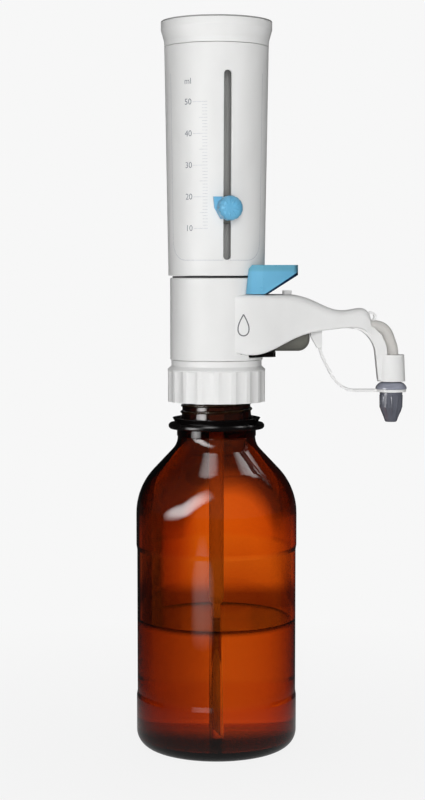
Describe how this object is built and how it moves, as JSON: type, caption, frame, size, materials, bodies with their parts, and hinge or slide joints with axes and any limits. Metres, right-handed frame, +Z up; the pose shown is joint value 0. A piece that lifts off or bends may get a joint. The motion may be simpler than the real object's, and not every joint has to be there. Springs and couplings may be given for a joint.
{
  "type": "bottle top dispenser",
  "caption": "Adjustable piston dispenser screwed on an amber reagent bottle, with a volume slider, recirculation lever, swept spout and tethered nozzle cap.",
  "frame": {"origin": "centre of the bottle's foot, on the bench", "axes": "+Z up along the piston, +X from the bottle's axis towards the spout, and -Y faces the reader of the volume scale"},
  "size_m": [0.1712, 0.1018, 0.4575],
  "materials": {
    "amber_glass": "glossy amber glass",
    "reagent": "clear liquid",
    "white_plastic": "moulded, satin",
    "grey_plastic": "moulded, matt",
    "dark_grey_plastic": "moulded, matt",
    "black_plastic": "moulded, glossy",
    "blue_plastic": "moulded, satin",
    "smoky_plastic": "translucent smoky moulding",
    "clear_plastic": "clear fluoropolymer",
    "clear_tube": "clear fluoropolymer tube",
    "clear_glass": "clear borosilicate",
    "ceramic_white": "white fluoropolymer or ceramic",
    "seal_rubber": "black elastomer",
    "brass": "turned"
  },
  "bodies": {
    "bottle": {"bottle": "amber_glass", "neck_ring": "black_plastic", "reagent": "reagent"},
    "collar": {"neck_collar": "white_plastic"},
    "dispenser": {"housing": "white_plastic", "base_plate": "black_plastic", "valve_block": "grey_plastic", "neck_seal": "seal_rubber", "filling_valve": "clear_plastic", "outer_filling_tube": "clear_tube", "recirculation_tube": "clear_tube", "glass_cylinder": "clear_glass", "cylinder_clamp": "white_plastic", "guard_tube": "grey_plastic", "bumper_ring": "seal_rubber", "discharge_block": "dark_grey_plastic", "discharge_valve_seat": "ceramic_white", "discharge_valve_plug": "ceramic_white", "discharge_tube": "clear_tube", "nozzle_tip": "clear_tube", "cap_strap": "white_plastic", "vent_plug": "white_plastic"},
    "valve_lever": {"valve_lever": "blue_plastic", "lever_plug": "ceramic_white"},
    "plunger": {"sleeve": "white_plastic", "sleeve_guide": "dark_grey_plastic", "top_cap": "white_plastic", "top_rim": "grey_plastic", "piston_rod": "ceramic_white", "piston_head": "ceramic_white", "piston_seals": "seal_rubber", "rod_nut": "brass"},
    "volume_slider": {"slider_block": "dark_grey_plastic", "volume_pointer": "blue_plastic"},
    "volume_knob": {"volume_knob": "blue_plastic", "clamp_screw": "brass"},
    "inner_tube": {"inner_filling_tube": "clear_tube"},
    "nozzle_cap": {"nozzle_cap": "smoky_plastic"},
    "filling_ball": {"filling_valve_ball": "ceramic_white"},
    "discharge_ball": {"discharge_valve_ball": "ceramic_white"}
  },
  "joints": [
    {"name": "dispenser_lift", "type": "slide", "parent": "bottle", "child": "dispenser", "axis": [0, 0, 1], "range_m": [0, 0.235]},
    {"name": "collar_turn", "type": "hinge", "parent": "dispenser", "child": "collar", "pos_m": [0, 0, 0.235], "axis": [0, 0, 1], "continuous": true},
    {"name": "plunger_stroke", "type": "slide", "parent": "dispenser", "child": "plunger", "axis": [0, 0, 1], "range_m": [0, 0.0765]},
    {"name": "volume_slide", "type": "slide", "parent": "plunger", "child": "volume_slider", "axis": [0.0035, -0.0162, 0.9999], "range_m": [-0.0192, 0.0672]},
    {"name": "knob_turn", "type": "hinge", "parent": "volume_slider", "child": "volume_knob", "pos_m": [0, 0, 0.341], "axis": [0.213, -0.977, 0], "range_deg": [0, 180]},
    {"name": "lever_flip", "type": "hinge", "parent": "dispenser", "child": "valve_lever", "pos_m": [0.038, 0, 0.272], "axis": [0, 1, 0], "range_deg": [0, 13.5]},
    {"name": "tube_telescope", "type": "slide", "parent": "dispenser", "child": "inner_tube", "axis": [0, 0, 1], "range_m": [0, 0.085]},
    {"name": "cap_turn", "type": "hinge", "parent": "dispenser", "child": "nozzle_cap", "pos_m": [0.1105, 0, 0.22], "axis": [0, 0, 1], "range_deg": [0, 540]},
    {"name": "filling_ball_lift", "type": "slide", "parent": "dispenser", "child": "filling_ball", "axis": [0, 0, 1], "range_m": [0, 0.0015]},
    {"name": "discharge_ball_lift", "type": "slide", "parent": "dispenser", "child": "discharge_ball", "axis": [0, 0, 1], "range_m": [0, 0.0015]}
  ]
}
